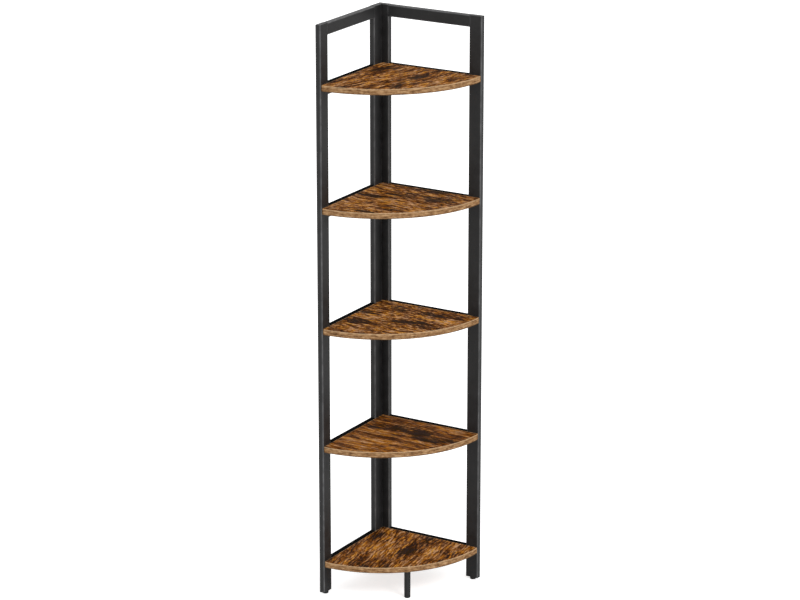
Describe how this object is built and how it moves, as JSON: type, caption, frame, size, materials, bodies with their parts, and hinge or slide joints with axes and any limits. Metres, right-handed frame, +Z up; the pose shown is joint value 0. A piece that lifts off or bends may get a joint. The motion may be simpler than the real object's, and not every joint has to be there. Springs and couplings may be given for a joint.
{
  "type": "corner shelf unit",
  "caption": "Tall corner shelf unit: two black steel tube frames at a right angle, quarter-round brown wood-look boards between them, levelling feet and a short round leg under the front.",
  "frame": {"origin": "on the floor, in the middle of the square footprint, which is the bottom centre of the bounding box", "axes": "+Z up; the two walls that the unit stands against are on its -X and its +Y side, and its quarter-round front faces -Y and +X"},
  "size_m": [0.3, 0.3, 1.48],
  "materials": {
    "powder_coat": "matte",
    "rustic_board": "satin",
    "black_plastic": "matte",
    "black_steel": "satin"
  },
  "bodies": {
    "unit": {"left_front_upright_lower": "powder_coat", "left_front_upright_upper": "powder_coat", "left_rear_upright_lower": "powder_coat", "left_rear_upright_upper": "powder_coat", "left_shelf_rail_1": "powder_coat", "left_shelf_rail_2": "powder_coat", "left_shelf_rail_3": "powder_coat", "left_shelf_rail_4": "powder_coat", "left_shelf_rail_5": "powder_coat", "left_top_rail": "powder_coat", "right_front_upright_lower": "powder_coat", "right_front_upright_upper": "powder_coat", "right_rear_upright_lower": "powder_coat", "right_rear_upright_upper": "powder_coat", "right_shelf_rail_1": "powder_coat", "right_shelf_rail_2": "powder_coat", "right_shelf_rail_3": "powder_coat", "right_shelf_rail_4": "powder_coat", "right_shelf_rail_5": "powder_coat", "right_top_rail": "powder_coat", "shelf_1": "rustic_board", "shelf_2": "rustic_board", "shelf_3": "rustic_board", "shelf_4": "rustic_board", "shelf_5": "rustic_board", "front_leg": "powder_coat", "front_leg_insert": "black_steel", "shelf_1_screw_left_front": "black_steel", "shelf_1_screw_left_rear": "black_steel", "shelf_1_screw_right_front": "black_steel", "shelf_1_screw_right_rear": "black_steel", "shelf_2_screw_left_front": "black_steel", "shelf_2_screw_left_rear": "black_steel", "shelf_2_screw_right_front": "black_steel", "shelf_2_screw_right_rear": "black_steel", "shelf_3_screw_left_front": "black_steel", "shelf_3_screw_left_rear": "black_steel", "shelf_3_screw_right_front": "black_steel", "shelf_3_screw_right_rear": "black_steel", "shelf_4_screw_left_front": "black_steel", "shelf_4_screw_left_rear": "black_steel", "shelf_4_screw_right_front": "black_steel", "shelf_4_screw_right_rear": "black_steel", "shelf_5_screw_left_front": "black_steel", "shelf_5_screw_left_rear": "black_steel", "shelf_5_screw_right_front": "black_steel", "shelf_5_screw_right_rear": "black_steel", "corner_bolt_1": "black_steel", "corner_bolt_2": "black_steel", "corner_bolt_3": "black_steel", "corner_bolt_4": "black_steel", "left_front_tube_plug": "black_plastic", "left_rear_tube_plug": "black_plastic", "right_front_tube_plug": "black_plastic", "right_rear_tube_plug": "black_plastic"},
    "left_front_foot": {"left_front_levelling_foot": "black_plastic"},
    "left_rear_foot": {"left_rear_levelling_foot": "black_plastic"},
    "right_front_foot": {"right_front_levelling_foot": "black_plastic"},
    "right_rear_foot": {"right_rear_levelling_foot": "black_plastic"},
    "front_leg_foot": {"front_leg_levelling_foot": "black_plastic"}
  },
  "joints": [
    {"name": "left_front_foot_level", "type": "slide", "parent": "unit", "child": "left_front_foot", "axis": [0, 0, -1], "range_m": [0, 0.01]},
    {"name": "left_rear_foot_level", "type": "slide", "parent": "unit", "child": "left_rear_foot", "axis": [0, 0, -1], "range_m": [0, 0.01]},
    {"name": "right_front_foot_level", "type": "slide", "parent": "unit", "child": "right_front_foot", "axis": [0, 0, -1], "range_m": [0, 0.01]},
    {"name": "right_rear_foot_level", "type": "slide", "parent": "unit", "child": "right_rear_foot", "axis": [0, 0, -1], "range_m": [0, 0.01]},
    {"name": "front_leg_foot_level", "type": "slide", "parent": "unit", "child": "front_leg_foot", "axis": [0, 0, -1], "range_m": [0, 0.01]}
  ]
}
